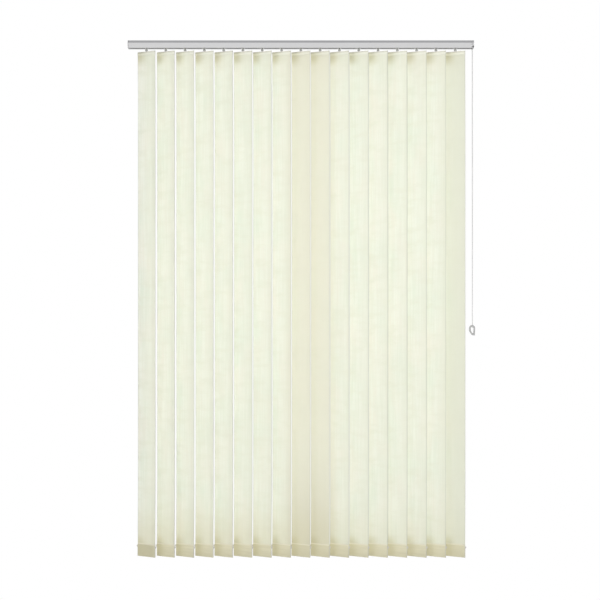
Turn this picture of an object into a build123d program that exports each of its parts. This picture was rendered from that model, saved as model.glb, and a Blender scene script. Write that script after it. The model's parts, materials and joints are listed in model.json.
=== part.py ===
from build123d import *
import math
import os

# Vertical blind with 89 mm fabric louvres, millimetres. The origin is the centre of the headrail's
# top face, X runs along the rail, Z is up and the room is on the -Y side. The blind is built as it
# hangs: drawn across the window, with every louvre turned to its half-open angle.

# louvres and how they are spaced
louvre_count = 17
louvre_pitch = 80.0
louvre_width = 89.0
louvre_drop = 2099.0
louvre_below_rail = 9.5
rest_angle = -30.0              # turn of each louvre about its stem, from flat across the window
fabric_thick = 0.5
pocket_clearance = 0.3          # between a pocket's wall and the plate inside it

# headrail extrusion
end_margin = 76.0               # from the outer stems to the ends of the rail
rail_height = 31.5
rail_depth = 38.0
rail_wall = 1.4
bevel_drop = 9.5
bevel_setback = 5.0
bevel_radius = 4.0
slot_width = 12.0
cap_thick = 4.0
cap_plug = 8.0
plug_clearance = 0.2

# tilt rod
rod_radius = 2.5
rod_groove = 0.9
rod_running_fit = 0.1
rod_in_carrier = 0.5
rod_end_play = 0.5

# carriers, with the stem and its gear turning in each
carrier_width = 17.0
carrier_wall = 2.5              # outside the rod's hole
carrier_head_room = 8.6         # under the rail's top wall, for the spacer strips
foot_thick = 2.4
track_clearance = 0.3
boss_drop = 1.2
gear_radius = 4.2
gear_thick = 4.0
gear_depth = 8.0                # underside of the gear below the carrier's top
gear_room = 0.3
stem_radius = 2.5
stem_running_fit = 0.1

# spacer strips, stacked in levels so that they pass over each other when the blind is drawn back
spacer_levels = 5
spacer_thick = 0.4
spacer_rise = 0.8
spacer_width = 6.0
spacer_head = 5.0
spacer_short = 5.0              # how far the strip stops short of the next stem
spacer_post = 2.5
spacer_post_gap = 1.0

# hook, hanger and bottom weight
hook_below_rail = 0.8
hook_gap = 1.5                  # between the hook and the fabric
hook_width = 6.4
hook_depth = 4.6
hook_pin_radius = 1.0
hook_pin_rise = 4.2             # above the fabric's top
hanger_thick = 1.2
hanger_height = 8.0
neck_width = 5.5
neck_rise = 6.6
neck_slot_gap = 1.5
eye_radius = 1.3
plate_short = 1.5               # how far hanger and weight plates stop short of each fabric edge
weight_thick = 1.8
weight_headroom = 3.0
weight_corner = 3.0
weight_tab_reach = 5.0
weight_tab_height = 12.0
top_pocket = 16.0
bottom_pocket = 54.0            # height of the bottom pocket, up to its weld
pocket_taper = 4.0

# control housing, chain wheel, chain and pull ring
housing_wall = 1.2
housing_skin = 2.0
housing_shoulder = 1.3          # of the housing's outside, past its bearing wall
bearing_wall = 5.3
mouth_top = -20.0               # the small mouth in the housing's front face
mouth_bottom = -27.0
mouth_gap = 0.8
chain_radius = 2.25
chain_pitch = 6.0
wheel_pockets = 8
wheel_clearance = 0.25
wheel_end_gap = 0.3
wheel_bearing_gap = 0.8
flange_thick = 0.7
flange_rise = 1.36
hub_wall = 1.5
journal_radius = 2.0
journal_length = 0.9
journal_end_play = 0.2
rod_socket_fit = 0.05
rod_socket_gap = 0.3            # between the rod's socket and the inner face of the bearing wall
strand_clearance = 0.1          # round the chain inside the housing
chain_joint_angle = 4.0         # half of the gap where the chain's two ends meet, over the wheel
ring_height_below = 1146.5      # from the rail down to the pull ring
ring_thick = 5.0
ring_bar = 8.0
ring_edge = 1.6
ring_seat = 0.3

# places worked out from the sizes above
rail_end = (louvre_count - 1) * louvre_pitch / 2 + end_margin
track_top = -rail_height + rail_wall
foot_bottom = track_top + track_clearance
carrier_top = -rail_wall - carrier_head_room
gear_bottom = carrier_top - gear_depth
rod_y = gear_radius + rod_radius + gear_room
rod_z = gear_bottom + gear_thick / 2
louvre_top = -rail_height - louvre_below_rail
louvre_bottom = louvre_top - louvre_drop
hook_pin_z = louvre_top + hook_pin_rise
neck_top = louvre_top + neck_rise
plate_half = louvre_width / 2 - plate_short
outer_wall_start = rail_end - housing_wall
groove_half = chain_radius + wheel_clearance
chain_x = outer_wall_start - wheel_end_gap - flange_thick - groove_half
bearing_end = chain_x - groove_half - flange_thick - wheel_bearing_gap
bearing_start = bearing_end - bearing_wall
housing_start = bearing_end - housing_shoulder
wheel_radius = wheel_pockets * chain_pitch / (2 * math.pi)
flange_radius = wheel_radius + flange_rise
ring_top = -rail_height - ring_height_below
loop_z = ring_top - ring_bar - ring_seat - chain_radius + wheel_radius

os.makedirs("parts", exist_ok=True)


def save(shape, name):
    export_step(shape, "parts/" + name + ".step")


def block(x_range, y_range, z_range):
    # a box given by its lowest and highest value along each axis
    sizes = [high - low for low, high in (x_range, y_range, z_range)]
    middle = [(high + low) / 2 for low, high in (x_range, y_range, z_range)]
    return Pos(*middle) * Box(*sizes)


def rod_along_x(radius, start, end, y=rod_y, z=rod_z):
    # a round bar along the rail
    return Pos((start + end) / 2, y, z) * Rot(0, 90, 0) * Cylinder(radius, end - start)


def upright(radius, low, high, x=0, y=0):
    # a round bar standing on end
    return Pos(x, y, (low + high) / 2) * Cylinder(radius, high - low)


def rail_outline(inset):
    # cross-section of the headrail, drawn in by a wall: flat sides, bevelled shoulders, flat top
    half = rail_depth / 2 - inset
    shoulder = half - bevel_setback
    corners = [
        (-half, -rail_height + inset), (half, -rail_height + inset),
        (half, -bevel_drop), (shoulder, -inset),
        (-shoulder, -inset), (-half, -bevel_drop),
    ]
    face = make_face(Polyline(*corners, close=True))
    soft = face.vertices().filter_by(lambda v: v.Y > -rail_height / 2)
    return fillet(soft, bevel_radius)


def along_rail(section, start, end):
    return extrude(Plane.YZ.offset(start) * section, end - start)


def louvre_x(number):
    return (number - (louvre_count + 1) / 2) * louvre_pitch


def turned(number, shape):
    # from the louvre's own flat position to its place under the rail
    return Pos(louvre_x(number), 0, 0) * Rot(0, 0, rest_angle) * shape


def build_headrail():
    shell = along_rail(rail_outline(0) - rail_outline(rail_wall), -rail_end + cap_thick, housing_start)
    half_slot = slot_width / 2
    slot = block((-rail_end, rail_end), (-half_slot, half_slot), (-rail_height - 1, track_top + 1))
    return shell - slot


def build_end_cap():
    plug_inset = rail_wall + plug_clearance
    plug_start = -rail_end + cap_thick
    plate = along_rail(rail_outline(0), -rail_end, plug_start)
    plug = along_rail(rail_outline(plug_inset), plug_start, plug_start + cap_plug)
    bearing = rod_along_x(rod_radius + rod_running_fit, -rail_end + cap_thick / 2, plug_start + cap_plug)
    return plate + plug - bearing


def build_control_housing():
    housing = along_rail(rail_outline(0), housing_start, rail_end)
    housing += along_rail(rail_outline(rail_wall + plug_clearance), bearing_start, housing_start)
    housing -= along_rail(rail_outline(housing_skin), bearing_end, outer_wall_start)
    outlet_y = (rod_y - wheel_radius - chain_radius - mouth_gap, rail_depth / 2 - housing_skin)
    outlet_z = (-rail_height - 1, -rail_height + housing_skin + 1)
    housing -= block((bearing_end, outer_wall_start), outlet_y, outlet_z)
    strand_room = wheel_radius + chain_radius + strand_clearance
    strands_y = (rod_y - strand_room, rod_y + strand_room)
    groove = (chain_x - groove_half, chain_x + groove_half)
    housing -= rod_along_x(strand_room, *groove)
    housing -= block(groove, strands_y, (-rail_height - 1, rod_z))
    mouth_x = (chain_x - chain_radius - mouth_gap, chain_x + chain_radius + mouth_gap)
    front = -rail_depth / 2
    housing -= block(mouth_x, (front - 1, front + housing_skin + 1), (mouth_bottom, mouth_top))
    housing -= rod_along_x(rod_radius + hub_wall + rod_running_fit, bearing_start - 1, bearing_end + 1)
    journal_bore = journal_radius + rod_running_fit / 2
    housing -= rod_along_x(journal_bore, outer_wall_start - 1, outer_wall_start + journal_length)
    return housing


def build_tilt_rod():
    start = -rail_end + cap_thick / 2 + rod_end_play
    end = bearing_end - rod_end_play
    rod = rod_along_x(rod_radius, start, end)
    for angle in (90, 210, 330):
        groove = Pos(0, 0, rod_radius) * Box(end - start + 2, rod_groove, 2 * rod_groove)
        rod -= Pos((start + end) / 2, rod_y, rod_z) * Rot(angle, 0, 0) * groove
    return rod


def build_chain_wheel():
    # a grooved wheel between two flanges, with a hub that holds the rod and a journal at the far side
    wheel = rod_along_x(wheel_radius - groove_half, chain_x - groove_half, chain_x + groove_half)
    wheel += rod_along_x(flange_radius, chain_x - groove_half - flange_thick, chain_x - groove_half)
    wheel += rod_along_x(flange_radius, chain_x + groove_half, chain_x + groove_half + flange_thick)
    wheel += rod_along_x(rod_radius + hub_wall, bearing_start + rod_end_play, chain_x - groove_half)
    journal_end = outer_wall_start + journal_length - journal_end_play
    wheel += rod_along_x(journal_radius, chain_x + groove_half, journal_end)
    return wheel - rod_along_x(rod_radius + rod_socket_fit, bearing_start, bearing_end - rod_socket_gap)


def build_control_chain():
    # one open run of chain: over the wheel, down the front, round the ring's bar and up the back
    front = rod_y - wheel_radius
    back = rod_y + wheel_radius
    quarter = 90 - chain_joint_angle
    route = [
        CenterArc((rod_y, rod_z), wheel_radius, 90 + chain_joint_angle, quarter),
        Line((front, rod_z), (front, loop_z)),
        CenterArc((rod_y, loop_z), wheel_radius, 180, 180),
        Line((back, loop_z), (back, rod_z)),
        CenterArc((rod_y, rod_z), wheel_radius, 0, quarter),
    ]
    path = Plane.YZ.offset(chain_x) * Wire(route)
    section = Plane(origin=path @ 0, z_dir=path % 0) * Circle(chain_radius)
    chain = sweep(section, path=path)
    print("chain length", round(path.length, 1), "tightest radius", round(wheel_radius, 2))
    print("chain volume over section x length", round(chain.volume / (path.length * section.area), 4))
    return chain


def ring_face(corners, radii):
    # corner points are measured from the chain across, and from the ring's top down
    placed = [(chain_x + across, ring_top + down) for across, down in corners]
    return make_face(FilletPolyline(*placed, radius=radii, close=True))


def build_chain_weight():
    outer = ring_face(
        [(-13.2, 0), (12.8, 0), (10.8, -43.5), (-2.5, -41.5), (-13.2, -24)],
        [12.4, 12.4, 1.8, 4, 8],
    )
    hole = ring_face(
        [(-8.2, -ring_bar), (7.8, -ring_bar), (6.2, -36.5), (0, -36.5), (-8.2, -24)],
        [6, 6, 2.5, 2.5, 5],
    )
    ring = extrude(Plane.XZ.offset(-rod_y) * (outer - hole), ring_thick / 2, both=True)
    rims = ring.faces().filter_by(Axis.Y).edges()
    return fillet(rims, ring_edge)


def build_carrier(number):
    x = louvre_x(number)
    half = carrier_width / 2
    foot_half = rail_depth / 2 - rail_wall - track_clearance * 2
    foot_top = foot_bottom + foot_thick
    width = (-half, half)
    truck = block(width, (-foot_half, foot_half), (foot_bottom, foot_top))
    body_half = rod_y + rod_radius + rod_in_carrier + carrier_wall
    truck += block(width, (-body_half, body_half), (foot_top, carrier_top))
    boss_half = slot_width / 2 - 2 * track_clearance
    truck += block((-boss_half, boss_half), (-boss_half, boss_half), (foot_bottom - boss_drop, foot_bottom))
    truck -= rod_along_x(rod_radius + rod_in_carrier, -half - 1, half + 1)
    truck -= upright(gear_radius + gear_room, gear_bottom - gear_room, gear_bottom + gear_thick + gear_room)
    truck -= upright(stem_radius + stem_running_fit, foot_bottom - boss_drop - 1, gear_bottom)
    return Pos(x, 0, 0) * truck


def build_spacer(number):
    # a flat strip that reaches to the next carrier, held by a post beside its own lane
    level = number % spacer_levels
    low = carrier_top + spacer_thick + level * spacer_rise
    high = low + spacer_thick
    lane = spacer_width / 2
    strip = block((-spacer_head, louvre_pitch - spacer_short), (-lane, lane), (low, high))
    post_in = lane + spacer_post_gap
    post_x = (-spacer_head, -spacer_head + spacer_post)
    strip += block(post_x, (lane, post_in + spacer_post), (low, high))
    strip += block(post_x, (post_in, post_in + spacer_post), (carrier_top, low))
    return Pos(louvre_x(number), 0, 0) * strip


def pocket_half(plate_thick):
    # half of the outside thickness of a fabric pocket round a plate
    return plate_thick / 2 + pocket_clearance + fabric_thick


def build_louvre():
    sheet = fabric_thick / 2
    top_out = pocket_half(hanger_thick)
    low_out = pocket_half(weight_thick)
    top_in = top_out - fabric_thick
    low_in = low_out - fabric_thick
    top_end = louvre_top - top_pocket
    low_end = louvre_bottom + bottom_pocket
    right_side = [
        (top_out, louvre_top), (top_out, top_end + pocket_taper), (sheet, top_end),
        (sheet, low_end), (low_out, low_end - pocket_taper), (low_out, louvre_bottom),
    ]
    left_side = [(-y, z) for y, z in reversed(right_side)]
    top_hollow = [
        (top_in, louvre_top - fabric_thick), (top_in, top_end + pocket_taper),
        (0, top_end + pocket_taper / 2),
        (-top_in, top_end + pocket_taper), (-top_in, louvre_top - fabric_thick),
    ]
    low_hollow = [
        (low_in, louvre_bottom + fabric_thick), (low_in, low_end - pocket_taper),
        (0, low_end - pocket_taper / 2),
        (-low_in, low_end - pocket_taper), (-low_in, louvre_bottom + fabric_thick),
    ]
    section = make_face(Polyline(*right_side, *left_side, close=True))
    section -= make_face(Polyline(*top_hollow, close=True))
    section -= make_face(Polyline(*low_hollow, close=True))
    louvre = along_rail(section, -louvre_width / 2, louvre_width / 2)
    neck_room = neck_width / 2 + neck_slot_gap
    neck_slot = block((-neck_room, neck_room), (-top_in, top_in), (louvre_top - 1, louvre_top + 1))
    return louvre - neck_slot


def build_stem():
    # gear inside the carrier, shaft down through the slot, and a forked hook with a cross pin
    hook_top = -rail_height - hook_below_rail
    hook_bottom = louvre_top + hook_gap
    stem = upright(gear_radius, gear_bottom, gear_bottom + gear_thick)
    stem += upright(stem_radius, hook_top, gear_bottom)
    across = (-hook_width / 2, hook_width / 2)
    fork = block(across, (-hook_depth / 2, hook_depth / 2), (hook_bottom, hook_top))
    gap = hanger_thick / 2 + pocket_clearance
    fork -= block((-hook_width, hook_width), (-gap, gap), (hook_bottom - 1, neck_top + pocket_clearance))
    pin = Pos(0, 0, hook_pin_z) * Rot(90, 0, 0) * Cylinder(hook_pin_radius, hook_depth)
    return stem + fork + pin


def build_hanger():
    top = louvre_top - fabric_thick - pocket_clearance
    half = plate_half
    neck = neck_width / 2
    outline = [
        (-neck, neck_top), (neck, neck_top), (neck, top), (half, top),
        (half, top - hanger_height), (-half, top - hanger_height), (-half, top), (-neck, top),
    ]
    plate = extrude(Plane.XZ * make_face(Polyline(*outline, close=True)), hanger_thick / 2, both=True)
    eye = Pos(0, 0, hook_pin_z) * Rot(90, 0, 0) * Cylinder(eye_radius, hanger_thick + 1)
    return plate - eye


def build_bottom_weight():
    # a plate as long as the pocket, with a hooked tab past each edge of the fabric near its top
    low = louvre_bottom + fabric_thick + pocket_clearance
    high = louvre_bottom + bottom_pocket - pocket_taper - weight_headroom + fabric_thick + pocket_clearance
    half = plate_half
    tip = louvre_width / 2 + weight_tab_reach
    tab_low = high - weight_tab_height
    right_side = [
        (half, high), (tip, high - weight_tab_height / 3), (tip, high - weight_tab_height / 2),
        (half, tab_low), (half, low + weight_corner), (half - weight_corner, low),
    ]
    left_side = [(-x, z) for x, z in reversed(right_side)]
    outline = make_face(Polyline(*right_side, *left_side, close=True))
    return extrude(Plane.XZ * outline, weight_thick / 2, both=True)


save(build_headrail(), "headrail")
save(build_end_cap(), "end_cap")
save(build_control_housing(), "control_housing")
save(build_tilt_rod(), "tilt_rod")
save(build_chain_wheel(), "chain_wheel")
save(build_control_chain(), "control_chain")
save(build_chain_weight(), "chain_weight")

louvre = build_louvre()
stem = build_stem()
hanger = build_hanger()
bottom_weight = build_bottom_weight()
for number in range(1, louvre_count + 1):
    tag = f"{number:02d}"
    carrier = [build_carrier(number)]
    if number < louvre_count:
        carrier.append(build_spacer(number))
    save(Compound(children=carrier), "carrier_" + tag)
    save(turned(number, louvre), "louvre_" + tag)
    fittings = [turned(number, piece) for piece in (stem, hanger, bottom_weight)]
    save(Compound(children=fittings), "hanger_set_" + tag)
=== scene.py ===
import json
import math

import bmesh
import bpy
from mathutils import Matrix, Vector


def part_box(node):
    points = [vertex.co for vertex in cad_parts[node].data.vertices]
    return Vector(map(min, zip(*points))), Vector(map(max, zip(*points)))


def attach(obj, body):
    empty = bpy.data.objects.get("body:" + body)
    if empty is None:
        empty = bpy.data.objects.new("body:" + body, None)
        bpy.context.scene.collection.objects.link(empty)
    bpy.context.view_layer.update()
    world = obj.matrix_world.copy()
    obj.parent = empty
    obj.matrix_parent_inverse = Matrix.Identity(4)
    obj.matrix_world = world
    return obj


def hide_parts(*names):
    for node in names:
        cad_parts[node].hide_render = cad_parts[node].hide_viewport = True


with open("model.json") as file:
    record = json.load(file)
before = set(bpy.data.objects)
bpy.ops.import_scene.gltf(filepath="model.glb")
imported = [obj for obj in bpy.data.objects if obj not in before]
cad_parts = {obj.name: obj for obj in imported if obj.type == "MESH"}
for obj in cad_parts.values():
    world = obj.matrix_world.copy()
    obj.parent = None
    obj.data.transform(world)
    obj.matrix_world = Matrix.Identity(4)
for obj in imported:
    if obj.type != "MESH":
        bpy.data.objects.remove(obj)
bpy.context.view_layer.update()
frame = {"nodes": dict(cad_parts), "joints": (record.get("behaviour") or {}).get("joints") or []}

# Vertical blind, 17 fabric louvres on a slotted aluminium headrail. Metres, the CAD frame:
# X along the rail, Z up, the room on the -Y side. Flat pieces are modelled across X at the
# rail's middle and then turned to the louvres' rest angle.

louvreSpots = {}
for joint in frame["joints"]:
    if joint["name"].startswith("louvre_"):
        louvreSpots[joint["name"][7:9]] = joint["pos_m"][0]


# small helpers used by every piece

def clearPicks():
    if bpy.context.mode != "OBJECT":
        bpy.ops.object.mode_set(mode="OBJECT")
    bpy.ops.object.select_all(action="DESELECT")


def pick(*objs):
    clearPicks()
    for obj in objs:
        obj.select_set(True)
    bpy.context.view_layer.objects.active = objs[0]
    return objs[0]


def edit(obj):
    pick(obj)
    bpy.ops.object.mode_set(mode="EDIT")


def leave():
    bpy.ops.object.mode_set(mode="OBJECT")


def pickFaces(test):
    # test gets a face's middle and its normal
    mesh = bmesh.from_edit_mesh(bpy.context.edit_object.data)
    bpy.ops.mesh.select_mode(type="FACE")
    bpy.ops.mesh.select_all(action="DESELECT")
    for face in mesh.faces:
        face.select_set(test(face.calc_center_median(), face.normal))
    bmesh.update_edit_mesh(bpy.context.edit_object.data)


def pickEdges(test):
    # test gets an edge's middle and its direction
    mesh = bmesh.from_edit_mesh(bpy.context.edit_object.data)
    bpy.ops.mesh.select_mode(type="EDGE")
    bpy.ops.mesh.select_all(action="DESELECT")
    for edge in mesh.edges:
        first, last = edge.verts[0].co, edge.verts[1].co
        edge.select_set(test((first + last) / 2, (last - first).normalized()))
    bmesh.update_edit_mesh(bpy.context.edit_object.data)


def pickVerts(test):
    mesh = bmesh.from_edit_mesh(bpy.context.edit_object.data)
    bpy.ops.mesh.select_mode(type="VERT")
    bpy.ops.mesh.select_all(action="DESELECT")
    for vert in mesh.verts:
        vert.select_set(test(vert.co))
    mesh.select_flush(True)
    bmesh.update_edit_mesh(bpy.context.edit_object.data)


def cutAll(place, normal, trim=False):
    # a straight cut through the whole mesh, and with trim the side the normal points to goes
    bpy.ops.mesh.select_mode(type="VERT")
    bpy.ops.mesh.select_all(action="SELECT")
    bpy.ops.mesh.bisect(plane_co=place, plane_no=normal, use_fill=trim, clear_outer=trim)


def slab(name, low, high):
    # a starting block between two corners
    clearPicks()
    middle = [(a + b) / 2 for a, b in zip(low, high)]
    size = [b - a for a, b in zip(low, high)]
    bpy.ops.mesh.primitive_cube_add(size=1, location=middle, scale=size)
    obj = bpy.context.object
    obj.name = obj.data.name = name
    bpy.ops.object.transform_apply(location=True, rotation=True, scale=True)
    return obj


def roundBar(name, radius, low, high, sides=24):
    # a starting bar between two points
    clearPicks()
    low, high = Vector(low), Vector(high)
    bpy.ops.mesh.primitive_cylinder_add(vertices=sides, radius=radius, depth=(high - low).length,
                                        location=(low + high) / 2,
                                        rotation=(high - low).to_track_quat("Z", "Y").to_euler())
    obj = bpy.context.object
    obj.name = obj.data.name = name
    bpy.ops.object.transform_apply(location=True, rotation=True, scale=True)
    return obj


def useModifier(obj, kind, **settings):
    pick(obj)
    modifier = obj.modifiers.new(kind.title(), kind)
    for key, value in settings.items():
        setattr(modifier, key, value)
    bpy.ops.object.modifier_apply(modifier=modifier.name)


def cutAway(obj, *cutters):
    for cutter in cutters:
        useModifier(obj, "BOOLEAN", object=cutter, operation="DIFFERENCE", solver="EXACT")
        bpy.data.objects.remove(cutter)


def softenEdges(obj, width, segments=2, angle=35):
    useModifier(obj, "BEVEL", width=width, segments=segments, limit_method="ANGLE",
                angle_limit=math.radians(angle), miter_outer="MITER_ARC")


def faceOutwards(obj):
    edit(obj)
    bpy.ops.mesh.select_all(action="SELECT")
    bpy.ops.mesh.remove_doubles(threshold=0.000005)
    bpy.ops.mesh.normals_make_consistent(inside=False)
    leave()


def smooth(obj, angle=35):
    # flat faces keep their own direction, only the narrow corners between them are blended
    pick(obj)
    bpy.ops.object.shade_smooth_by_angle(angle=math.radians(angle))
    useModifier(obj, "WEIGHTED_NORMAL", mode="FACE_AREA", weight=50, keep_sharp=True)


def joinAll(name, *objs):
    pick(*objs)
    bpy.ops.object.join()
    obj = bpy.context.object
    obj.name = obj.data.name = name
    return obj


def ownCopy(obj, name):
    twin = obj.copy()
    twin.data = obj.data.copy()
    twin.name = twin.data.name = name
    bpy.context.scene.collection.objects.link(twin)
    return twin


def setInPlace(obj, x, turn):
    # from the middle of the rail to a louvre's own spot
    pick(obj)
    obj.location = (x, 0, 0)
    obj.rotation_euler = (0, 0, math.radians(turn))
    bpy.ops.object.transform_apply(location=True, rotation=True, scale=True)


# materials

def newMaterial(name, **settings):
    material = bpy.data.materials.new(name)
    material.use_nodes = True
    shader = material.node_tree.nodes["Principled BSDF"]
    for socket, value in settings.items():
        shader.inputs[socket.replace("_", " ")].default_value = value
    return material, material.node_tree, shader


def addNode(tree, kind, **settings):
    node = tree.nodes.new("ShaderNode" + kind)
    for key, value in settings.items():
        setattr(node, key, value)
    return node


def placeBy(tree, source, scale, offset=(0, 0, 0)):
    # coordinates for a pattern, stretched by scale
    coords = addNode(tree, "TexCoord")
    mapping = addNode(tree, "Mapping")
    mapping.inputs["Scale"].default_value = scale
    mapping.inputs["Location"].default_value = offset
    tree.links.new(coords.outputs[source], mapping.inputs["Vector"])
    return mapping.outputs["Vector"]


def noise(tree, vector, scale, detail=3.0, roughness=0.5):
    node = addNode(tree, "TexNoise")
    node.inputs["Scale"].default_value = scale
    node.inputs["Detail"].default_value = detail
    node.inputs["Roughness"].default_value = roughness
    tree.links.new(vector, node.inputs["Vector"])
    return node.outputs["Fac"]


def remap(tree, value, low, high, toLow=0.0, toHigh=1.0, soft=True):
    node = addNode(tree, "MapRange")
    node.interpolation_type = "SMOOTHSTEP" if soft else "LINEAR"
    node.inputs["From Min"].default_value = low
    node.inputs["From Max"].default_value = high
    node.inputs["To Min"].default_value = toLow
    node.inputs["To Max"].default_value = toHigh
    tree.links.new(value, node.inputs["Value"])
    return node.outputs["Result"]


def blendColour(tree, factor, first, second):
    # first and second are colours or sockets
    node = addNode(tree, "Mix", data_type="RGBA", blend_type="MIX")
    tree.links.new(factor, node.inputs["Factor"])
    for socket, value in ((node.inputs[6], first), (node.inputs[7], second)):
        if isinstance(value, tuple):
            socket.default_value = (*value, 1)
        else:
            tree.links.new(value, socket)
    return node.outputs[2]


def sums(tree, operation, *values):
    # one sum on sockets or plain numbers
    node = addNode(tree, "Math", operation=operation)
    for socket, value in zip(node.inputs, values):
        if isinstance(value, (int, float)):
            socket.default_value = value
        else:
            tree.links.new(value, socket)
    return node.outputs[0]


def addBump(tree, height, distance, *shaders, strength=1.0):
    bump = addNode(tree, "Bump")
    bump.inputs["Strength"].default_value = strength
    bump.inputs["Distance"].default_value = distance
    tree.links.new(height, bump.inputs["Height"])
    for shader in shaders:
        tree.links.new(bump.outputs["Normal"], shader.inputs["Normal"])


def shaded(colour, share):
    return tuple(min(1, part * share) for part in colour)


aluminiumLook = {
    "cloudScale": (6, 30, 30),     # long clouds along the bar
    "cloudShade": 0.965,
    "lineShade": 1.04,
    "lineDepth": 0.00002,
    "smoother": 0.05,
    "rougher": 0.09,
}


def makeAluminium(name, colour, lineScale, roughness):
    # satin extrusion: fine drawn lines along the bar and a faint cloudiness
    look = aluminiumLook
    material, tree, shader = newMaterial(name, Metallic=1.0)
    lines = noise(tree, placeBy(tree, "Object", lineScale), 1.0, 4.0, 0.6)
    clouds = noise(tree, placeBy(tree, "Object", look["cloudScale"]), 1.0, 3.0)
    tone = blendColour(tree, remap(tree, clouds, 0.3, 0.7), shaded(colour, look["cloudShade"]), colour)
    tone = blendColour(tree, remap(tree, lines, 0.35, 0.75), tone, shaded(colour, look["lineShade"]))
    tree.links.new(tone, shader.inputs["Base Color"])
    rough = remap(tree, lines, 0.2, 0.8, roughness - look["smoother"],
                  roughness + look["rougher"], False)
    tree.links.new(rough, shader.inputs["Roughness"])
    addBump(tree, lines, look["lineDepth"], shader, strength=0.6)
    return material


plasticLook = {
    "mottleScale": 45.0,
    "roughnessDrift": 0.06,
    "grainDepth": 0.00003,
    "specular": 0.45,
}


def makePlastic(name, colour, roughness, grain=900.0, shade=0.94, metal=0.0):
    # moulded plastic: very fine grain, slightly uneven tone, metal for a metal-effect finish
    look = plasticLook
    material, tree, shader = newMaterial(name, Metallic=metal)
    shader.inputs["Specular IOR Level"].default_value = look["specular"]
    mottle = noise(tree, placeBy(tree, "Object", (1, 1, 1)), look["mottleScale"], 3.0)
    fine = noise(tree, placeBy(tree, "Object", (1, 1, 1)), grain, 2.0)
    tone = blendColour(tree, remap(tree, mottle, 0.3, 0.7), shaded(colour, shade), colour)
    tree.links.new(tone, shader.inputs["Base Color"])
    drift = look["roughnessDrift"]
    rough = remap(tree, fine, 0.3, 0.7, roughness - drift, roughness + drift, False)
    tree.links.new(rough, shader.inputs["Roughness"])
    addBump(tree, fine, look["grainDepth"], shader, strength=0.5)
    return material


# camera, sky, floor and lamps

viewSetup = {
    "place": (-0.0035, -5.67, -1.074),
    "lens": 82.06,
    "sensor": 36.0,
    "farthest": 60.0,
}


def makeCamera():
    clearPicks()
    bpy.ops.object.camera_add(location=viewSetup["place"], rotation=(math.pi / 2, 0, 0))
    camera = bpy.context.object
    camera.data.lens = viewSetup["lens"]
    camera.data.sensor_width = viewSetup["sensor"]
    camera.data.clip_end = viewSetup["farthest"]
    bpy.context.scene.camera = camera


makeCamera()
print("camera set")


# bead chain, first because its route settles the room it takes

chainSetup = {
    "x": 0.7113,
    "beadRadius": 0.00225,
    "beadPitch": 0.006,
    "pinch": 0.9,              # of each bead's ends, where the string enters
    "stringRadius": 0.0007,
    "length": 2.377,
    # from the top of the chain wheel down the front, round the ring's bar and up the back,
    # which hangs a little to the right: (x from the wheel, y, z)
    "route": [
        (0, 0.0065, -0.0083), (0, 0.0038, -0.0083), (0, -0.0006, -0.0128),
        (0, -0.0006, -0.0200), (0, -0.0006, -0.0450), (0, -0.0006, -1.1540),
        (0, -0.0006, -1.1770), (0, -0.0006, -1.1841), (0.0004, 0.0038, -1.1886),
        (0.0014, 0.0102, -1.1886), (0.0018, 0.0146, -1.1841), (0.0018, 0.0146, -1.1770),
        (0.0018, 0.0146, -1.1540), (0.0018, 0.0146, -0.0450), (0, 0.0146, -0.0200),
        (0, 0.0146, -0.0128), (0, 0.0102, -0.0083), (0, 0.0075, -0.0083),
    ],
}


def routeCurve(name, bevel=0.0):
    data = bpy.data.curves.new(name, "CURVE")
    data.dimensions = "3D"
    data.resolution_u = 24
    data.bevel_depth = bevel
    data.bevel_resolution = 1
    spline = data.splines.new("NURBS")
    spline.points.add(len(chainSetup["route"]) - 1)
    for point, (across, y, z) in zip(spline.points, chainSetup["route"]):
        point.co = (chainSetup["x"] + across, y, z, 1)
    spline.order_u = 3
    spline.use_endpoint_u = True
    curve = bpy.data.objects.new(name, data)
    bpy.context.scene.collection.objects.link(curve)
    return curve


def makeChain():
    route = routeCurve("chainRoute")
    line = bpy.data.meshes.new_from_object(route)
    path = [tuple(vert.co) for vert in line.vertices]

    clearPicks()
    bpy.ops.mesh.primitive_uv_sphere_add(segments=8, ring_count=6, radius=chainSetup["beadRadius"],
                                         rotation=(0, math.pi / 2, 0))
    beads = bpy.context.object
    bpy.ops.object.transform_apply(rotation=True)
    edit(beads)
    pickVerts(lambda co: abs(co.x) > chainSetup["pinch"] * chainSetup["beadRadius"])
    bpy.ops.transform.resize(value=(chainSetup["pinch"], 1, 1))
    bpy.ops.mesh.select_all(action="SELECT")
    bpy.ops.transform.translate(value=(chainSetup["beadPitch"] / 2, 0, 0))
    leave()
    useModifier(beads, "ARRAY", fit_type="FIT_CURVE", curve=route, use_relative_offset=False,
                use_constant_offset=True, constant_offset_displace=(chainSetup["beadPitch"], 0, 0))
    useModifier(beads, "CURVE", object=route, deform_axis="POS_X")
    pick(beads)
    bpy.ops.object.shade_smooth()

    string = routeCurve("chainString", chainSetup["stringRadius"])
    pick(string)
    bpy.ops.object.convert(target="MESH")
    string = bpy.context.object
    edit(string)
    bpy.ops.mesh.select_mode(type="EDGE")
    bpy.ops.mesh.select_non_manifold()
    bpy.ops.mesh.edge_face_add()
    leave()
    chain = joinAll("beadChain", beads, string)
    chain.data.materials.clear()
    chain.data.materials.append(makePlastic("chainPlastic", (0.64, 0.64, 0.64), 0.32, 700.0, 0.97))
    bpy.data.objects.remove(route)

    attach(chain, "rail")
    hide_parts("control_chain")
    return chain, path


chain, chainPath = makeChain()
print("bead chain made,", len(chain.data.polygons), "faces")


# pull ring on the chain

ringSetup = {
    "barDepth": 0.008,
    "holeMiddle": 0.018,        # below the ring's top
    "holeShrink": (0.72, 1, 0.89),
}


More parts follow.
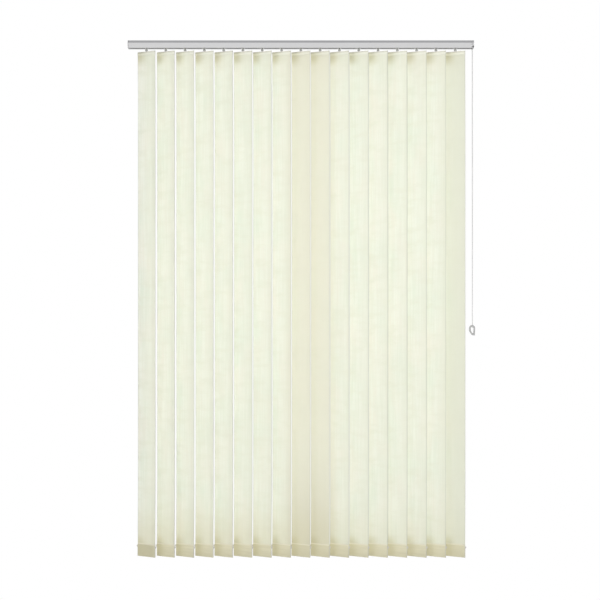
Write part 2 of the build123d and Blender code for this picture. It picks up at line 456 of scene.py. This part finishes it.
def makeRing():
    # a merged copy of the CAD ring, and only its hole is made smaller, away from the bar that
    # the chain goes round
    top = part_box("chain_weight")[1].z
    ring = ownCopy(frame["nodes"]["chain_weight"], "pullRing")
    for key in list(ring.keys()):
        del ring[key]
    ring.parent = None
    faceOutwards(ring)
    edit(ring)
    middle = Vector((chainSetup["x"], 0, top - ringSetup["holeMiddle"]))
    pickFaces(lambda place, normal: abs(normal.y) < 0.995
              and normal.x * (middle.x - place.x) + normal.z * (middle.z - place.z) > 0)
    bpy.ops.transform.resize(value=ringSetup["holeShrink"],
                             center_override=(middle.x, 0, top - ringSetup["barDepth"]))
    leave()
    smooth(ring, 50)
    ring.data.materials.clear()
    ring.data.materials.append(makePlastic("ringPlastic", (0.39, 0.39, 0.39), 0.36, 600.0, 0.95))
    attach(ring, "rail")
    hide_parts("chain_weight")
    return ring


ring = makeRing()
print("pull ring made")


# headrail, end cap and control housing share one outline

railSetup = {
    "wall": 0.0014,
    "bevelDrop": 0.0106,
    "bevelSetback": 0.0056,
    "bevelRadius": 0.002,
    "slotHalf": 0.006,
    "plugClearance": 0.0002,
    "edge": 0.00025,
    "rodY": 0.007,
    "rodZ": -0.016,
}


def railBar(name, xLow, xHigh, inset=0.0):
    # solid bar with the rail's outline: flat sides, bevelled shoulders with soft corners
    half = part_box("headrail")[1].y - inset
    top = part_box("headrail")[1].z - inset
    bar = slab(name, (xLow, -half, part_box("headrail")[0].z + inset), (xHigh, half, top))
    drop = railSetup["bevelDrop"]
    back = railSetup["bevelSetback"]
    tilt = math.atan2(back, drop)
    edit(bar)
    for side in (-1, 1):
        cutAll((0, side * half, -drop), Vector((0, side * drop, back)).normalized(), trim=True)
    for edgeZ, turn in ((-drop, tilt), (top, math.pi / 2 - tilt)):
        pickEdges(lambda middle, way: abs(way.x) > 0.99 and abs(middle.z - edgeZ) < 0.0003)
        bpy.ops.mesh.bevel(offset=railSetup["bevelRadius"] * math.tan(turn / 2), segments=5,
                           affect="EDGES", clamp_overlap=True)
    leave()
    return bar


def makeHeadrail():
    low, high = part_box("headrail")
    rail = railBar("headrailShell", low.x, high.x)
    edit(rail)
    pickFaces(lambda middle, normal: abs(normal.x) > 0.9)
    bpy.ops.mesh.delete(type="FACE")
    for side in (-1, 1):
        cutAll((0, side * railSetup["slotHalf"], 0), (0, 1, 0))
    # the slot in the underside
    pickFaces(lambda middle, normal: middle.z < low.z + 0.0005
              and abs(middle.y) < railSetup["slotHalf"])
    bpy.ops.mesh.delete(type="FACE")
    bpy.ops.mesh.select_all(action="SELECT")
    bpy.ops.mesh.normals_make_consistent(inside=False)
    leave()
    if max(face.normal.z for face in rail.data.polygons if face.center.z > high.z - 0.0005) < 0:
        rail.data.flip_normals()
    useModifier(rail, "SOLIDIFY", thickness=railSetup["wall"], offset=-1, use_even_offset=True)
    softenEdges(rail, railSetup["edge"])
    faceOutwards(rail)
    smooth(rail)
    finish = makeAluminium("railAluminium", (0.78, 0.78, 0.785), (3, 2600, 2600), 0.28)
    rail.data.materials.append(finish)
    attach(rail, "rail")
    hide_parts("headrail")
    return rail


def roundRod(name, radius, xLow, xHigh):
    # a bar round the tilt rod's axis
    return roundBar(name, radius, (xLow, railSetup["rodY"], railSetup["rodZ"]),
                    (xHigh, railSetup["rodY"], railSetup["rodZ"]), 32)


def addPlug(obj, xLow, xHigh):
    # the part that sits inside the rail's end
    plug = railBar("plug", xLow, xHigh, railSetup["wall"] + railSetup["plugClearance"])
    useModifier(obj, "BOOLEAN", object=plug, operation="UNION", solver="EXACT")
    bpy.data.objects.remove(plug)


capSetup = {
    "corner": 0.0006,          # rounding of cap and housing
    "overlap": 0.0005,
    "plugWall": 0.0018,
    "plateLeft": 0.001,
    "bossRadius": 0.0046,
    "rodHole": 0.0026,
    "holeDepth": 0.002,
}
capPlastic = makePlastic("capPlastic", (0.62, 0.62, 0.625), 0.34, 1400.0, 0.96, 0.85)


def makeEndCap():
    size = capSetup
    low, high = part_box("end_cap")
    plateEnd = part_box("headrail")[0].x
    cap = railBar("endCap", low.x, plateEnd)
    softenEdges(cap, size["corner"], 3, 50)
    addPlug(cap, plateEnd - size["overlap"], high.x)
    pocket = railBar("pocket", plateEnd + size["plateLeft"], high.x + 0.001,
                     railSetup["wall"] + size["plugWall"])
    # leaves the boss that the rod runs in
    cutAway(pocket, roundRod("boss", size["bossRadius"], plateEnd, high.x + 0.002))
    cutAway(cap, pocket, roundRod("bore", size["rodHole"], plateEnd - size["holeDepth"], high.x + 0.001))
    faceOutwards(cap)
    smooth(cap)
    cap.data.materials.append(capPlastic)
    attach(cap, "rail")
    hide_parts("end_cap")
    return cap


housingSetup = {
    "skin": 0.002,
    "outerWall": 0.0012,
    "bearingEnd": 0.7073,
    "mouthX": (0.70825, 0.71435),
    "mouthZ": (-0.030, -0.023),
    "mouthCorner": 0.001,
    "outletY": (-0.00344, 0.017),
    "cutDepth": 0.003,         # of mouth and outlet, past the skin
    "rodHole": 0.0041,
    "journalHole": 0.00205,
    "journalDepth": 0.0009,
}


def makeHousing():
    size = housingSetup
    low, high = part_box("control_housing")
    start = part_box("headrail")[1].x
    front = -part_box("headrail")[1].y
    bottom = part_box("headrail")[0].z
    inner = high.x - size["outerWall"]
    housing = railBar("controlHousing", start, high.x)
    softenEdges(housing, capSetup["corner"], 3, 50)
    addPlug(housing, low.x, start + capSetup["overlap"])
    bearing = size["bearingEnd"]
    room = railBar("room", bearing, inner, size["skin"])
    mouthLeft, mouthRight = size["mouthX"]
    mouthLow, mouthHigh = size["mouthZ"]
    mouth = slab("mouth", (mouthLeft, front - 0.001, mouthLow),
                 (mouthRight, front + size["cutDepth"], mouthHigh))
    softenEdges(mouth, size["mouthCorner"], 3)
    outletFront, outletBack = size["outletY"]
    outlet = slab("outlet", (bearing, outletFront, bottom - 0.001),
                  (inner, outletBack, bottom + size["cutDepth"]))
    rodHole = roundRod("rodHole", size["rodHole"], low.x - 0.001, bearing + 0.001)
    journalHole = roundRod("journalHole", size["journalHole"], inner - 0.001,
                           inner + size["journalDepth"])
    cutAway(housing, room, mouth, outlet, rodHole, journalHole)
    faceOutwards(housing)
    smooth(housing)
    housing.data.materials.append(capPlastic)
    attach(housing, "rail")
    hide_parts("control_housing")
    return housing


makeHeadrail()
makeEndCap()
makeHousing()
print("headrail, end cap and control housing made")


# fittings of one louvre: stem with hook, hanger, bottom weight

fittingSetup = {
    "gearTop": -0.014,
    "gearDepth": 0.004,
    "gearRadius": 0.0037,
    "gearSides": 24,           # every other one becomes a tooth
    "toothRise": 0.0005,
    "stemRadius": 0.0025,
    "hookTop": -0.0323,
    "hookBridge": 0.0016,
    "hookBottom": -0.0421,
    "hookHalf": (0.0032, 0.0023),
    "hookSlot": 0.0009,
    "hookFlare": 1.9,
    "pinRadius": 0.001,
    "pinZ": -0.0394,
    "hangerTop": -0.0444,
    "hangerHeight": 0.008,
    "hangerThick": 0.0012,
    "plateHalf": 0.043,
    "neckHalf": 0.00275,
    "neckTop": -0.0370,
    "hangerCorner": 0.0016,
    "eyeRadius": 0.0013,
    "weightThick": 0.0018,
    "weightLow": -2.1374,
    "weightHigh": -2.0922,
    "weightCorner": 0.003,
    "tabHeight": 0.012,
    "tabTip": 0.0495,
    "tabTaper": 0.45,
    "tabLift": 0.0035,
}


def makeHook():
    size = fittingSetup
    gearLow = size["gearTop"] - size["gearDepth"]
    stem = roundBar("stem", size["gearRadius"], (0, 0, gearLow), (0, 0, size["gearTop"]),
                    size["gearSides"])

    def isTooth(middle, normal):
        turn = math.degrees(math.atan2(middle.y, middle.x)) % 360
        spoke = round(turn / (360 / size["gearSides"]) - 0.5)
        return abs(normal.z) < 0.1 and spoke % 2 == 0

    edit(stem)
    pickFaces(isTooth)
    bpy.ops.mesh.extrude_faces_move(TRANSFORM_OT_shrink_fatten={"value": size["toothRise"]})
    pickFaces(lambda middle, normal: normal.z < -0.9 and math.hypot(middle.x, middle.y) < 0.001)
    bpy.ops.mesh.inset(thickness=size["gearRadius"] - size["stemRadius"])
    drop = size["hookTop"] - gearLow
    bpy.ops.mesh.extrude_region_move(TRANSFORM_OT_translate={"value": (0, 0, drop)})
    leave()
    softenEdges(stem, 0.00012, 1, 40)

    halfX, halfY = size["hookHalf"]
    hook = slab("hook", (-halfX, -halfY, size["hookTop"] - size["hookBridge"]),
                (halfX, halfY, size["hookTop"] + 0.0002))
    edit(hook)
    for side in (-1, 1):
        cutAll((0, side * size["hookSlot"], 0), (0, 1, 0))
    pickFaces(lambda middle, normal: normal.z < -0.9 and abs(middle.y) > size["hookSlot"])
    drop = size["hookBottom"] - size["hookTop"] + size["hookBridge"]
    bpy.ops.mesh.extrude_region_move(TRANSFORM_OT_translate={"value": (0, 0, drop)})
    pickFaces(lambda middle, normal: normal.z < -0.9 and middle.z < size["hookBottom"] + 0.0001)
    bpy.ops.transform.resize(value=(size["hookFlare"], 1, 1))
    leave()
    softenEdges(hook, 0.0003, 2, 30)
    pin = roundBar("pin", size["pinRadius"], (0, -halfY, size["pinZ"]), (0, halfY, size["pinZ"]), 16)
    return [stem, hook, pin]


def makeHanger():
    size = fittingSetup
    thick = size["hangerThick"] / 2
    half = size["plateHalf"]
    hanger = slab("hanger", (-half, -thick, size["hangerTop"] - size["hangerHeight"]),
                  (half, thick, size["hangerTop"]))
    edit(hanger)
    for side in (-1, 1):
        cutAll((side * size["neckHalf"], 0, 0), (1, 0, 0))
    pickFaces(lambda middle, normal: normal.z > 0.9 and abs(middle.x) < size["neckHalf"])
    rise = size["neckTop"] - size["hangerTop"]
    bpy.ops.mesh.extrude_region_move(TRANSFORM_OT_translate={"value": (0, 0, rise)})
    pickEdges(lambda middle, way: abs(way.y) > 0.9
              and (abs(middle.x) > half - 0.0001 or middle.z > size["neckTop"] - 0.0001))
    bpy.ops.mesh.bevel(offset=size["hangerCorner"], segments=4, affect="EDGES")
    leave()
    eye = roundBar("eye", size["eyeRadius"], (0, -0.002, size["pinZ"]), (0, 0.002, size["pinZ"]), 20)
    cutAway(hanger, eye)
    softenEdges(hanger, 0.0002, 2, 50)
    return hanger


def makeWeight():
    size = fittingSetup
    thick = size["weightThick"] / 2
    half = size["plateHalf"]
    tabLow = size["weightHigh"] - size["tabHeight"]
    reach = size["tabTip"] - half
    weight = slab("weight", (-half, -thick, size["weightLow"]), (half, thick, size["weightHigh"]))
    edit(weight)
    cutAll((0, 0, tabLow), (0, 0, 1))
    for side in (-1, 1):
        pickFaces(lambda middle, normal: normal.x * side > 0.9 and middle.z > tabLow)
        bpy.ops.mesh.extrude_region_move(TRANSFORM_OT_translate={"value": (side * reach, 0, 0)})
        bpy.ops.transform.resize(value=(1, 1, size["tabTaper"]))
        bpy.ops.transform.translate(value=(0, 0, size["tabLift"]))
    pickEdges(lambda middle, way: abs(way.y) > 0.9 and middle.z < size["weightLow"] + 0.0001)
    bpy.ops.mesh.bevel(offset=size["weightCorner"], segments=4, affect="EDGES")
    leave()
    softenEdges(weight, 0.00035, 2, 50)
    return weight


def makeFittings():
    hook = joinAll("hook", *makeHook())
    plates = joinAll("plates", makeHanger(), makeWeight())
    hook.data.materials.append(makePlastic("hookPlastic", (0.37, 0.37, 0.36), 0.38, 1100.0, 0.93))
    plates.data.materials.append(makePlastic("platePlastic", (0.57, 0.55, 0.53), 0.40, 1100.0, 0.93))
    fittings = joinAll("fittings", hook, plates)
    faceOutwards(fittings)
    smooth(fittings)
    return fittings


fittings = makeFittings()
print("fittings made,", len(fittings.data.polygons), "faces")


# louvre cloth: one ribbon folded over the hanger at the top and under the weight at the bottom

clothSetup = {
    "width": 0.089,
    "thick": 0.0005,
    "columns": 12,
    "topZ": -0.0436,
    "topWeld": -0.0596,
    "topRound": 0.00115,       # half the distance between the layers round the hanger
    "lowZ": -2.1382,
    "lowWeld": -2.086,
    "lowRound": 0.00145,
    "weldTaper": 0.004,
    "flap": 0.0015,            # of the folded end past its weld
    "behind": 0.00055,         # of the flap's middle behind the front layer's
    "foldSteps": 6,
    "rows": 44,
    "slotHalf": 0.0042,
    "restTurn": -30.0,
    "bow": 9.0,                # degrees of curl across the width
    "wave": 0.0016,
    "waveLength": 0.34,
    "stillEnds": 0.22,         # over which curl and wave fade out towards the pockets
}


def foldRound(radius, middleZ, top):
    # the half round of a fold, from the front layer to the back one
    way = 1 if top else -1
    turns = [math.pi * step / clothSetup["foldSteps"] for step in range(clothSetup["foldSteps"] + 1)]
    return [(-radius * math.cos(turn), middleZ + way * radius * math.sin(turn)) for turn in turns]


def clothPath():
    # side view of the ribbon as (y, z), from the free end behind the top weld to the one at the bottom
    size = clothSetup
    thick, behind = size["thick"], size["behind"]
    topRound, topWeld = size["topRound"], size["topWeld"]
    lowRound, lowWeld = size["lowRound"], size["lowWeld"]
    topTaper, lowTaper = topWeld + size["weldTaper"], lowWeld - size["weldTaper"]
    pocketMiddle = (lowWeld + size["lowZ"]) / 2
    path = [(behind, topWeld - size["flap"]), (behind, topWeld), (topRound, topTaper)]
    path += reversed(foldRound(topRound, size["topZ"] - thick / 2 - topRound, True))
    path += [(-topRound, topTaper), (-0.00015, topWeld + 0.0006)]
    for row in range(size["rows"] + 1):
        path.append((0, topWeld + (lowWeld - topWeld) * row / size["rows"]))
    path += [(-0.0002, lowWeld - 0.0006), (-lowRound, lowTaper), (-lowRound, pocketMiddle)]
    path += foldRound(lowRound, size["lowZ"] + thick / 2 + lowRound, False)
    path += [(lowRound, pocketMiddle), (lowRound, lowTaper), (behind, lowWeld)]
    path.append((behind, lowWeld + size["flap"]))
    return path


def makeCloth():
    size = clothSetup
    path = clothPath()
    clearPicks()
    bpy.ops.mesh.primitive_grid_add(x_subdivisions=size["columns"], y_subdivisions=1, size=1,
                                    calc_uvs=False)
    cloth = bpy.context.object
    cloth.name = cloth.data.name = "cloth"
    cloth.scale = (size["width"], 1, 1)
    bpy.ops.object.transform_apply(scale=True)
    edit(cloth)
    pickVerts(lambda co: co.y > 0)
    bpy.ops.mesh.delete(type="VERT")
    bpy.ops.mesh.select_all(action="SELECT")
    y, z = path[0]
    bpy.ops.transform.translate(value=(0, y + 0.5, z))
    for nextY, nextZ in path[1:]:
        bpy.ops.mesh.extrude_region_move(TRANSFORM_OT_translate={"value": (0, nextY - y, nextZ - z)})
        y, z = nextY, nextZ
    for side in (-1, 1):
        cutAll((side * size["slotHalf"], 0, 0), (1, 0, 0))
    roundTop = size["topZ"] - size["thick"] / 2 - size["topRound"] + 0.00001
    pickFaces(lambda middle, normal: abs(middle.x) < size["slotHalf"] and middle.z > roundTop)
    bpy.ops.mesh.delete(type="FACE")
    bpy.ops.mesh.select_all(action="SELECT")
    bpy.ops.mesh.normals_make_consistent(inside=False)
    leave()

    layer = cloth.data.uv_layers.new(name="clothUv")   # metres across and along the cloth
    for loop in cloth.data.loops:
        co = cloth.data.vertices[loop.vertex_index].co
        layer.data[loop.index].uv = (co.x, co.z)

    loose = cloth.vertex_groups.new(name="loose")   # free to curl away from the two pockets
    for vert in cloth.data.vertices:
        share = min(size["topWeld"] - vert.co.z, vert.co.z - size["lowWeld"]) / size["stillEnds"]
        share = max(0.0, min(1.0, share))
        loose.add([vert.index], share * share * (3 - 2 * share), "REPLACE")
    useModifier(cloth, "SIMPLE_DEFORM", deform_method="BEND", deform_axis="Z",
                angle=math.radians(size["bow"]), vertex_group="loose")
    return cloth


def flatLength():
    path = clothPath()
    return sum(math.dist(first, last) for first, last in zip(path, path[1:]))


fabricSetup = {
    "roughness": 0.82,
    "specular": 0.25,
    "sheen": 0.12,
    "lightThrough": 0.42,
    "lightStopped": 0.36,      # of that, where the cloth is doubled
    "relief": 0.00012,
    "threadScale": 571.0,      # one thread every 0.55 mm each way
    "stripsPerMetre": 12.5,
    # scale across, scale along and detail of the patterns
    "streaks": (150, 5, 3.0),
    "bars": (14, 34, 5.0),
    "pocketBars": (8, 115, 2.0),
    "slubsAcross": (26, 620, 2.0),
    "slubsAlong": (780, 9, 2.0),
    "tones": {
        "greenCream": (0.812, 0.846, 0.764),
        "warmCream": (0.859, 0.850, 0.778),
        "streak": (0.885, 0.900, 0.835),
        "bar": (0.805, 0.815, 0.725),
        "rightSideShade": (0.820, 0.825, 0.735),
        "middleDarker": (0.810, 0.800, 0.700),
        "rightDarker": (0.793, 0.802, 0.705),
        "slub": (0.790, 0.785, 0.680),
        "nearPocketShade": (0.765, 0.745, 0.600),
        "middleLowShade": (0.690, 0.665, 0.540),
        "topPocketShade": (0.700, 0.665, 0.490),
        "lowPocketShade": (0.690, 0.655, 0.480),
        "footShade": (0.560, 0.530, 0.370),
        "deepPocket": (0.530, 0.500, 0.340),
        "corner": (0.600, 0.570, 0.370),
        "weldLine": (0.81, 0.78, 0.65),
        "sealedEdge": (0.56, 0.56, 0.52),
        "topFoldShade": (0.40, 0.39, 0.31),
    },
}


def times(tree, first, second):
    return sums(tree, "MULTIPLY", first, second)


def larger(tree, first, second):
    return sums(tree, "MAXIMUM", first, second)


def distanceFrom(tree, value, middle):
    return sums(tree, "ABSOLUTE", sums(tree, "SUBTRACT", value, middle))


def splitAxes(tree, source):
    split = addNode(tree, "SeparateXYZ")
    tree.links.new(placeBy(tree, source, (1, 1, 1)), split.inputs[0])
    return split.outputs


def stripPattern(tree, strip, pattern):
    # a stretched noise on the cloth, and every strip gets its own piece of it
    scaleAcross, scaleAlong, detail = fabricSetup[pattern]
    shift = addNode(tree, "CombineXYZ")
    tree.links.new(times(tree, strip, 3.7), shift.inputs["Z"])
    moved = addNode(tree, "VectorMath", operation="ADD")
    tree.links.new(placeBy(tree, "UV", (scaleAcross, scaleAlong, 1)), moved.inputs[0])
    tree.links.new(shift.outputs[0], moved.inputs[1])
    return noise(tree, moved.outputs[0], 1.0, detail, 0.55)


def plainWeave(tree):
    threads = []
    for way in ("X", "Y"):
        wave = addNode(tree, "TexWave", wave_type="BANDS", bands_direction=way)
        wave.inputs["Scale"].default_value = fabricSetup["threadScale"]
        wave.inputs["Distortion"].default_value = 0.6
        wave.inputs["Detail"].default_value = 1.0
        tree.links.new(placeBy(tree, "UV", (1, 1, 1)), wave.inputs["Vector"])
        threads.append(wave.outputs["Fac"])
    return times(tree, *threads)


def makeFabric():
    # stiffened slub weave: cream with soft mottling, a pressed weld line, denser where it is doubled,
    # with painted shade on the pockets, the rear corners, the top fold and towards each strip's
    # right-hand side
    size, look = clothSetup, fabricSetup
    tones = look["tones"]
    topWeld, lowWeld, halfWidth = size["topWeld"], size["lowWeld"], size["width"] / 2
    material, tree, shader = newMaterial("louvreFabric", Roughness=look["roughness"])
    shader.inputs["Specular IOR Level"].default_value = look["specular"]
    shader.inputs["Sheen Weight"].default_value = look["sheen"]
    shader.inputs["Sheen Roughness"].default_value = 0.5
    onCloth = splitAxes(tree, "UV")
    across, along = onCloth[0], onCloth[1]
    x = splitAxes(tree, "Object")[0]
    strip = sums(tree, "ROUND", times(tree, x, look["stripsPerMetre"]))

    # creams that drift over the sheet, with paler lengthwise streaks and darker short bars
    broad = noise(tree, placeBy(tree, "Object", (1, 1, 0.55)), 11.0, 4.0, 0.55)
    broad = remap(tree, broad, 0.32, 0.68)
    tone = blendColour(tree, broad, tones["greenCream"], tones["warmCream"])
    streaks = remap(tree, stripPattern(tree, strip, "streaks"), 0.35, 0.70, 0.0, 0.80)
    tone = blendColour(tree, streaks, tone, tones["streak"])
    bars = remap(tree, stripPattern(tree, strip, "bars"), 0.42, 0.72, 0.0, 0.62)
    tone = blendColour(tree, bars, tone, tones["bar"])
    # painted shade: each strip darkens towards its right-hand side
    rightSideShade = remap(tree, across, -0.030, 0.042, 0.0, 0.5)
    tone = blendColour(tree, rightSideShade, tone, tones["rightSideShade"])

    # the right-hand strip and two in the middle are slightly darker
    middle = remap(tree, distanceFrom(tree, x, 0.04), 0.13, 0.05, 0.0, 0.75)
    tone = blendColour(tree, middle, tone, tones["middleDarker"])
    right = remap(tree, x, 0.56, 0.64, 0.0, 0.75)
    tone = blendColour(tree, right, tone, tones["rightDarker"])

    # slubs: thick places in the yarn, long across and longer along
    slubs = sums(tree, "ADD", remap(tree, stripPattern(tree, strip, "slubsAcross"), 0.52, 0.75),
                 remap(tree, stripPattern(tree, strip, "slubsAlong"), 0.55, 0.8))
    tone = blendColour(tree, times(tree, slubs, 0.22), tone, tones["slub"])

    # painted shade: the cloth is darker and yellower towards both pockets, for the light falling off
    # towards the foot and the rail's shadow at the top, less so on the strips at the right and more so
    # low on the middle strips
    share = larger(tree, remap(tree, x, -0.10, 0.35, 0.50, 0.22), middle)
    lowFade = times(tree, remap(tree, along, lowWeld + 0.20, lowWeld), share)
    topFade = remap(tree, along, topWeld - 0.10, topWeld + 0.01, 0.0, 0.15)
    tone = blendColour(tree, larger(tree, lowFade, topFade), tone, tones["nearPocketShade"])
    middleLowShade = remap(tree, along, lowWeld + 0.42, lowWeld + 0.10, 0.0, 0.36)
    tone = blendColour(tree, times(tree, middle, middleLowShade), tone, tones["middleLowShade"])

    # painted shade on the pockets, where the doubled cloth and the plate inside stop the light from
    # behind, darkest at the foot
    lowBand = remap(tree, along, lowWeld + 0.0005, lowWeld - 0.0015)
    topBand = remap(tree, along, topWeld - 0.0005, topWeld + 0.0015)
    tone = blendColour(tree, times(tree, topBand, 0.16), tone, tones["topPocketShade"])
    tone = blendColour(tree, lowBand, tone, tones["lowPocketShade"])
    footShade = remap(tree, along, size["lowZ"] + 0.040, size["lowZ"] + 0.001, 0.0, 0.55)
    tone = blendColour(tree, footShade, tone, tones["footShade"])

    # bars show in the bottom pockets, and the pockets of the first and the darker strips are deeper
    pocketBars = remap(tree, stripPattern(tree, strip, "pocketBars"), 0.42, 0.62, 0.0, 0.25)
    first = remap(tree, x, -0.58, -0.62, 0.0, 0.80)
    deeper = larger(tree, first, times(tree, larger(tree, middle, right), 0.40))
    deeper = times(tree, lowBand, larger(tree, deeper, pocketBars))
    tone = blendColour(tree, deeper, tone, tones["deepPocket"])

    # painted shade, darker and yellower, in the rear corner of each pocket and along the rear of the
    # bottom pocket
    rear = remap(tree, across, 0.014, -0.040)
    nearTop = remap(tree, along, topWeld - 0.050, topWeld - 0.004)
    nearLow = remap(tree, along, lowWeld + 0.045, lowWeld + 0.004, 0.0, 0.8)
    corner = times(tree, rear, larger(tree, nearTop, nearLow))
    tone = blendColour(tree, times(tree, corner, 0.55), tone, tones["corner"])
    rearLowShade = times(tree, times(tree, rear, lowBand), 0.40)
    tone = blendColour(tree, rearLowShade, tone, tones["deepPocket"])

    # pressed weld line and sealed edges
    weldLine = remap(tree, distanceFrom(tree, along, lowWeld), 0.0034, 0.0012)
    tone = blendColour(tree, times(tree, weldLine, 0.85), tone, tones["weldLine"])
    edge = remap(tree, sums(tree, "ABSOLUTE", across), halfWidth - 0.0030, halfWidth - 0.0010)
    tone = blendColour(tree, times(tree, edge, 0.5), tone, tones["sealedEdge"])
    # painted shade along the top fold, deeper towards the rear edge
    fold = remap(tree, along, size["topZ"] - 0.0090, size["topZ"] - 0.0040)
    foldShade = times(tree, fold, sums(tree, "ADD", times(tree, rear, 0.32), 0.30))
    tone = blendColour(tree, foldShade, tone, tones["topFoldShade"])
    tree.links.new(tone, shader.inputs["Base Color"])

    # some light comes through, and less where the cloth is doubled
    glow = addNode(tree, "BsdfTranslucent")
    tree.links.new(tone, glow.inputs["Color"])
    doubled = larger(tree, lowBand, topBand)
    stopped = times(tree, doubled, look["lightStopped"])
    mix = addNode(tree, "MixShader")
    tree.links.new(sums(tree, "SUBTRACT", look["lightThrough"], stopped), mix.inputs["Fac"])
    tree.links.new(shader.outputs[0], mix.inputs[1])
    tree.links.new(glow.outputs[0], mix.inputs[2])
    tree.links.new(mix.outputs[0], tree.nodes["Material Output"].inputs["Surface"])

    height = sums(tree, "ADD", times(tree, plainWeave(tree), 0.45), times(tree, slubs, 0.6))
    addBump(tree, height, look["relief"], shader, glow, strength=0.55)
    return material


ripple = bpy.data.textures.new("clothRipple", "CLOUDS")
ripple.noise_scale = clothSetup["waveLength"]
ripple.noise_depth = 1


def hangLouvres():
    cloth = makeCloth()
    cloth.data.materials.append(makeFabric())
    flat = (clothSetup["width"], round(flatLength(), 4))
    for number, x in sorted(louvreSpots.items()):
        own = ownCopy(fittings, "hangerSet_" + number)
        setInPlace(own, x, clothSetup["restTurn"])
        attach(own, "louvre_" + number)
        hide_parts("hanger_set_" + number)

        louvre = ownCopy(cloth, "louvreCloth_" + number)
        louvre.location = (x, 0, 0)
        useModifier(louvre, "DISPLACE", texture=ripple, texture_coords="GLOBAL", direction="Y",
                    mid_level=0.5, strength=clothSetup["wave"], vertex_group="loose")
        useModifier(louvre, "SOLIDIFY", thickness=clothSetup["thick"], offset=0)
        setInPlace(louvre, x, clothSetup["restTurn"])
        louvre.vertex_groups.clear()
        faceOutwards(louvre)
        smooth(louvre, 50)
        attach(louvre, "louvre_" + number)
        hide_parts("louvre_" + number)
    print("louvres hung,", len(louvre.data.polygons), "faces each, cut", flat)
    for spare in (cloth, fittings):
        bpy.data.objects.remove(spare)


hangLouvres()


# pieces inside the rail keep their CAD shape

insideFinishes = {
    "carrier": makePlastic("carrierPlastic", (0.72, 0.72, 0.69), 0.45, 1000.0, 0.92),
    "tilt_rod": makeAluminium("rodAluminium", (0.72, 0.72, 0.73), (4, 3000, 3000), 0.28),
    "chain_wheel": makePlastic("wheelPlastic", (0.78, 0.78, 0.76), 0.36),
}
for start, finish in insideFinishes.items():
    for name, node in frame["nodes"].items():
        if name.startswith(start):
            node.data.materials.clear()
            node.data.materials.append(finish)
print("inside pieces finished")


# studio: white surround, pale floor, soft lamps

studio = {
    "floorZ": -2.6,
    "floorSize": 60.0,
    "floorGrey": 0.55,
    "floorMirrored": 0.60,
    "skyPower": 0.55,
    "mirrorPower": 0.90,
    "mirrorRamp": [(0.30, (1, 1, 1, 1)), (0.75, (0.52, 0.52, 0.53, 1))],
    "lamps": [
        # name, place, aim, size, power
        ("keySoftbox", (1.0, -5.3, 0.4), (0, 0, -0.8), 2.8, 204),
        ("fillSoftbox", (-3.6, -4.2, -0.4), (0, 0, -1.1), 2.4, 42),
        ("windowGlow", (0.0, 2.6, -1.0), (0, 0, -1.0), 2.4, 80),
    ],
}


def makeSky():
    # white behind the blind, a soft even sky for the light, and for the metal to mirror a sky
    # that darkens towards the top
    world = bpy.data.worlds.new("studioWhite")
    world.use_nodes = True
    bpy.context.scene.world = world
    tree = world.node_tree
    even = tree.nodes["Background"]
    even.inputs["Strength"].default_value = studio["skyPower"]
    mirrored = tree.nodes.new("ShaderNodeBackground")
    mirrored.inputs["Strength"].default_value = studio["mirrorPower"]
    seen = tree.nodes.new("ShaderNodeBackground")
    for background in (even, seen):
        background.inputs["Color"].default_value = (1, 1, 1, 1)
    coords = tree.nodes.new("ShaderNodeTexCoord")
    split = tree.nodes.new("ShaderNodeSeparateXYZ")
    ramp = tree.nodes.new("ShaderNodeValToRGB")
    for stop, (position, colour) in zip(ramp.color_ramp.elements, studio["mirrorRamp"]):
        stop.position = position
        stop.color = colour
    tree.links.new(coords.outputs["Generated"], split.inputs[0])
    tree.links.new(split.outputs["Z"], ramp.inputs["Fac"])
    tree.links.new(ramp.outputs["Color"], mirrored.inputs["Color"])
    ray = tree.nodes.new("ShaderNodeLightPath")
    first = tree.nodes.new("ShaderNodeMixShader")
    last = tree.nodes.new("ShaderNodeMixShader")
    tree.links.new(ray.outputs["Is Glossy Ray"], first.inputs["Fac"])
    tree.links.new(even.outputs[0], first.inputs[1])
    tree.links.new(mirrored.outputs[0], first.inputs[2])
    tree.links.new(ray.outputs["Is Camera Ray"], last.inputs["Fac"])
    tree.links.new(first.outputs[0], last.inputs[1])
    tree.links.new(seen.outputs[0], last.inputs[2])
    tree.links.new(last.outputs[0], tree.nodes["World Output"].inputs["Surface"])


def makeStudio():
    bpy.context.scene.view_settings.view_transform = "Standard"
    makeSky()
    clearPicks()
    bpy.ops.mesh.primitive_plane_add(size=studio["floorSize"], location=(0, 0, studio["floorZ"]))
    floor = bpy.context.object
    floor.name = "studioFloor"
    material, tree, shader = newMaterial("floorWhite", Roughness=0.9)
    shader.inputs["Base Color"].default_value = (*[studio["floorGrey"]] * 3, 1)
    # plain white where the camera looks at it, grey for the bounce, paler grey in the metal
    ray = addNode(tree, "LightPath")
    grey = shader.outputs[0]
    for kind, power in (("Is Glossy Ray", studio["floorMirrored"]), ("Is Camera Ray", 1.0)):
        glow = addNode(tree, "Emission")
        glow.inputs["Strength"].default_value = power
        mix = addNode(tree, "MixShader")
        tree.links.new(ray.outputs[kind], mix.inputs["Fac"])
        tree.links.new(grey, mix.inputs[1])
        tree.links.new(glow.outputs[0], mix.inputs[2])
        grey = mix.outputs[0]
    tree.links.new(grey, tree.nodes["Material Output"].inputs["Surface"])
    floor.data.materials.append(material)

    for name, place, aim, size, power in studio["lamps"]:
        clearPicks()
        bpy.ops.object.light_add(type="AREA", location=place)
        lamp = bpy.context.object
        lamp.name = name
        lamp.data.size = size
        lamp.data.energy = power
        lamp.rotation_euler = (Vector(aim) - Vector(place)).to_track_quat("-Z", "Y").to_euler()
        lamp.visible_camera = False
        lamp.visible_glossy = False


makeStudio()
print("studio made")
